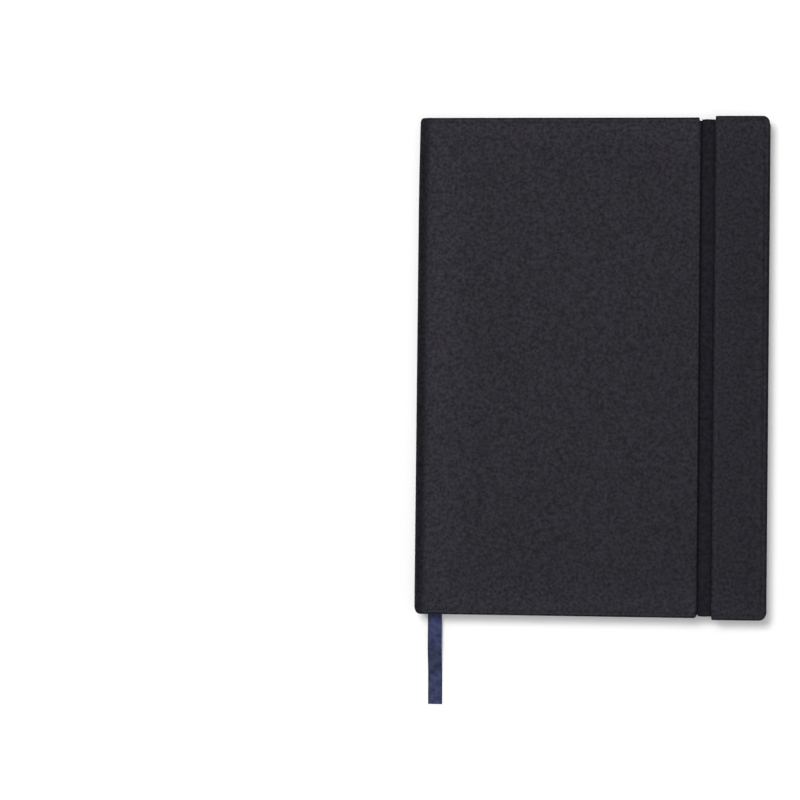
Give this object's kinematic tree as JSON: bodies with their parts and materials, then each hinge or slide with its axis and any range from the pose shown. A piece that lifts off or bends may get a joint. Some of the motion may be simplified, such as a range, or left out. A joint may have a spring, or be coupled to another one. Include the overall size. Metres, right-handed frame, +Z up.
{
  "type": "address book",
  "caption": "Soft-covered address book with step-cut alphabet index leaves, an elastic band that holds it shut and a ribbon marker.",
  "frame": {"origin": "middle of the shut book's footprint, on the surface that its back cover lies on", "axes": "+X from the spine to the fore edge, +Y from the tail to the head, +Z up through the front cover"},
  "size_m": [0.148, 0.2495, 0.0159],
  "materials": {
    "leatherette": "fine-grained matt black leatherette",
    "board": "grey-brown card",
    "endpaper": "plain off-white endpaper",
    "mull": "open-woven spine cloth",
    "elastic": "black woven elastic",
    "ribbon": "navy satin ribbon",
    "paper": "white ruled paper"
  },
  "bodies": {
    "back_cover": {"back_cover_skin": "leatherette", "back_cover_board": "board", "back_pastedown": "endpaper", "band_anchor_head": "elastic", "band_anchor_tail": "elastic", "ribbon_marker": "ribbon", "ribbon_tail": "ribbon"},
    "spine": {"spine_skin": "leatherette", "spine_board": "board", "spine_mull": "mull"},
    "front_cover": {"front_cover_skin": "leatherette", "front_cover_board": "board", "front_pastedown": "endpaper"},
    "band": {"elastic_band": "elastic"},
    "back_flyleaf": {"back_flyleaf": "endpaper"},
    "leaves_yz": {"leaves_yz": "paper"},
    "leaves_wx": {"leaves_wx": "paper"},
    "leaves_v": {"leaves_v": "paper"},
    "leaves_u": {"leaves_u": "paper"},
    "leaves_t": {"leaves_t": "paper"},
    "leaves_s": {"leaves_s": "paper"},
    "leaves_r": {"leaves_r": "paper"},
    "leaves_q": {"leaves_q": "paper"},
    "leaves_p": {"leaves_p": "paper"},
    "leaves_o": {"leaves_o": "paper"},
    "leaves_n": {"leaves_n": "paper"},
    "leaves_m": {"leaves_m": "paper"},
    "leaves_l": {"leaves_l": "paper"},
    "leaves_k": {"leaves_k": "paper"},
    "leaves_j": {"leaves_j": "paper"},
    "leaves_i": {"leaves_i": "paper"},
    "leaves_h": {"leaves_h": "paper"},
    "leaves_g": {"leaves_g": "paper"},
    "leaves_f": {"leaves_f": "paper"},
    "leaves_e": {"leaves_e": "paper"},
    "leaves_d": {"leaves_d": "paper"},
    "leaves_c": {"leaves_c": "paper"},
    "leaves_b": {"leaves_b": "paper"},
    "leaves_a": {"leaves_a": "paper"},
    "front_flyleaf": {"front_flyleaf": "endpaper"}
  },
  "joints": [
    {"name": "book_open", "type": "hinge", "parent": "back_cover", "child": "spine", "pos_m": [-0.074, 0, 0], "axis": [0, -1, 0], "range_deg": [0, 90]},
    {"name": "front_cover_hinge", "type": "hinge", "parent": "spine", "child": "front_cover", "pos_m": [-0.074, 0, 0.01592], "axis": [0, -1, 0], "range_deg": [0, 90]},
    {"name": "band_release", "type": "hinge", "parent": "back_cover", "child": "band", "pos_m": [0.0484, 0, 0.00796], "axis": [0, 1, 0], "range_deg": [0, 180], "deforming": ["elastic_band"]},
    {"name": "turn_back_flyleaf", "type": "hinge", "parent": "spine", "child": "back_flyleaf", "pos_m": [-0.071, 0, 0.00293], "axis": [0, -1, 0], "range_deg": [-89.2, 0]},
    {"name": "turn_leaves_yz", "type": "hinge", "parent": "spine", "child": "leaves_yz", "pos_m": [-0.071, 0, 0.00323], "axis": [0, -1, 0], "range_deg": [-88.15, 0]},
    {"name": "turn_leaves_wx", "type": "hinge", "parent": "spine", "child": "leaves_wx", "pos_m": [-0.071, 0, 0.00365], "axis": [0, -1, 0], "range_deg": [-87.1, 0]},
    {"name": "turn_leaves_v", "type": "hinge", "parent": "spine", "child": "leaves_v", "pos_m": [-0.071, 0, 0.00407], "axis": [0, -1, 0], "range_deg": [-86.05, 0]},
    {"name": "turn_leaves_u", "type": "hinge", "parent": "spine", "child": "leaves_u", "pos_m": [-0.071, 0, 0.00449], "axis": [0, -1, 0], "range_deg": [-85, 0]},
    {"name": "turn_leaves_t", "type": "hinge", "parent": "spine", "child": "leaves_t", "pos_m": [-0.071, 0, 0.00491], "axis": [0, -1, 0], "range_deg": [-83.95, 0]},
    {"name": "turn_leaves_s", "type": "hinge", "parent": "spine", "child": "leaves_s", "pos_m": [-0.071, 0, 0.00533], "axis": [0, -1, 0], "range_deg": [-82.9, 0]},
    {"name": "turn_leaves_r", "type": "hinge", "parent": "spine", "child": "leaves_r", "pos_m": [-0.071, 0, 0.00575], "axis": [0, -1, 0], "range_deg": [-81.85, 0]},
    {"name": "turn_leaves_q", "type": "hinge", "parent": "spine", "child": "leaves_q", "pos_m": [-0.071, 0, 0.00617], "axis": [0, -1, 0], "range_deg": [-80.8, 0]},
    {"name": "turn_leaves_p", "type": "hinge", "parent": "spine", "child": "leaves_p", "pos_m": [-0.071, 0, 0.00659], "axis": [0, -1, 0], "range_deg": [-79.75, 0]},
    {"name": "turn_leaves_o", "type": "hinge", "parent": "spine", "child": "leaves_o", "pos_m": [-0.071, 0, 0.00701], "axis": [0, -1, 0], "range_deg": [-78.7, 0]},
    {"name": "turn_leaves_n", "type": "hinge", "parent": "spine", "child": "leaves_n", "pos_m": [-0.071, 0, 0.00743], "axis": [0, -1, 0], "range_deg": [-77.65, 0]},
    {"name": "turn_leaves_m", "type": "hinge", "parent": "spine", "child": "leaves_m", "pos_m": [-0.071, 0, 0.00785], "axis": [0, -1, 0], "range_deg": [-76.6, 0]},
    {"name": "turn_leaves_l", "type": "hinge", "parent": "spine", "child": "leaves_l", "pos_m": [-0.071, 0, 0.00827], "axis": [0, -1, 0], "range_deg": [0, 76.6]},
    {"name": "turn_leaves_k", "type": "hinge", "parent": "spine", "child": "leaves_k", "pos_m": [-0.071, 0, 0.00869], "axis": [0, -1, 0], "range_deg": [0, 77.65]},
    {"name": "turn_leaves_j", "type": "hinge", "parent": "spine", "child": "leaves_j", "pos_m": [-0.071, 0, 0.00911], "axis": [0, -1, 0], "range_deg": [0, 78.7]},
    {"name": "turn_leaves_i", "type": "hinge", "parent": "spine", "child": "leaves_i", "pos_m": [-0.071, 0, 0.00953], "axis": [0, -1, 0], "range_deg": [0, 79.75]},
    {"name": "turn_leaves_h", "type": "hinge", "parent": "spine", "child": "leaves_h", "pos_m": [-0.071, 0, 0.00995], "axis": [0, -1, 0], "range_deg": [0, 80.8]},
    {"name": "turn_leaves_g", "type": "hinge", "parent": "spine", "child": "leaves_g", "pos_m": [-0.071, 0, 0.01037], "axis": [0, -1, 0], "range_deg": [0, 81.85]},
    {"name": "turn_leaves_f", "type": "hinge", "parent": "spine", "child": "leaves_f", "pos_m": [-0.071, 0, 0.01079], "axis": [0, -1, 0], "range_deg": [0, 82.9]},
    {"name": "turn_leaves_e", "type": "hinge", "parent": "spine", "child": "leaves_e", "pos_m": [-0.071, 0, 0.01121], "axis": [0, -1, 0], "range_deg": [0, 83.95]},
    {"name": "turn_leaves_d", "type": "hinge", "parent": "spine", "child": "leaves_d", "pos_m": [-0.071, 0, 0.01163], "axis": [0, -1, 0], "range_deg": [0, 85]},
    {"name": "turn_leaves_c", "type": "hinge", "parent": "spine", "child": "leaves_c", "pos_m": [-0.071, 0, 0.01205], "axis": [0, -1, 0], "range_deg": [0, 86.05]},
    {"name": "turn_leaves_b", "type": "hinge", "parent": "spine", "child": "leaves_b", "pos_m": [-0.071, 0, 0.01247], "axis": [0, -1, 0], "range_deg": [0, 87.1]},
    {"name": "turn_leaves_a", "type": "hinge", "parent": "spine", "child": "leaves_a", "pos_m": [-0.071, 0, 0.01289], "axis": [0, -1, 0], "range_deg": [0, 88.15]},
    {"name": "turn_front_flyleaf", "type": "hinge", "parent": "spine", "child": "front_flyleaf", "pos_m": [-0.071, 0, 0.01319], "axis": [0, -1, 0], "range_deg": [0, 89.2]}
  ],
  "couplings": [
    {"joint": "front_cover_hinge", "follows": "book_open", "ratio": 1},
    {"joint": "band_release", "follows": "book_open", "ratio": 2},
    {"joint": "turn_back_flyleaf", "follows": "book_open", "ratio": -0.99111},
    {"joint": "turn_leaves_yz", "follows": "book_open", "ratio": -0.97944},
    {"joint": "turn_leaves_wx", "follows": "book_open", "ratio": -0.96778},
    {"joint": "turn_leaves_v", "follows": "book_open", "ratio": -0.95611},
    {"joint": "turn_leaves_u", "follows": "book_open", "ratio": -0.94444},
    {"joint": "turn_leaves_t", "follows": "book_open", "ratio": -0.93278},
    {"joint": "turn_leaves_s", "follows": "book_open", "ratio": -0.92111},
    {"joint": "turn_leaves_r", "follows": "book_open", "ratio": -0.90944},
    {"joint": "turn_leaves_q", "follows": "book_open", "ratio": -0.89778},
    {"joint": "turn_leaves_p", "follows": "book_open", "ratio": -0.88611},
    {"joint": "turn_leaves_o", "follows": "book_open", "ratio": -0.87444},
    {"joint": "turn_leaves_n", "follows": "book_open", "ratio": -0.86278},
    {"joint": "turn_leaves_m", "follows": "book_open", "ratio": -0.85111},
    {"joint": "turn_leaves_l", "follows": "book_open", "ratio": 0.85111},
    {"joint": "turn_leaves_k", "follows": "book_open", "ratio": 0.86278},
    {"joint": "turn_leaves_j", "follows": "book_open", "ratio": 0.87444},
    {"joint": "turn_leaves_i", "follows": "book_open", "ratio": 0.88611},
    {"joint": "turn_leaves_h", "follows": "book_open", "ratio": 0.89778},
    {"joint": "turn_leaves_g", "follows": "book_open", "ratio": 0.90944},
    {"joint": "turn_leaves_f", "follows": "book_open", "ratio": 0.92111},
    {"joint": "turn_leaves_e", "follows": "book_open", "ratio": 0.93278},
    {"joint": "turn_leaves_d", "follows": "book_open", "ratio": 0.94444},
    {"joint": "turn_leaves_c", "follows": "book_open", "ratio": 0.95611},
    {"joint": "turn_leaves_b", "follows": "book_open", "ratio": 0.96778},
    {"joint": "turn_leaves_a", "follows": "book_open", "ratio": 0.97944},
    {"joint": "turn_front_flyleaf", "follows": "book_open", "ratio": 0.99111}
  ]
}
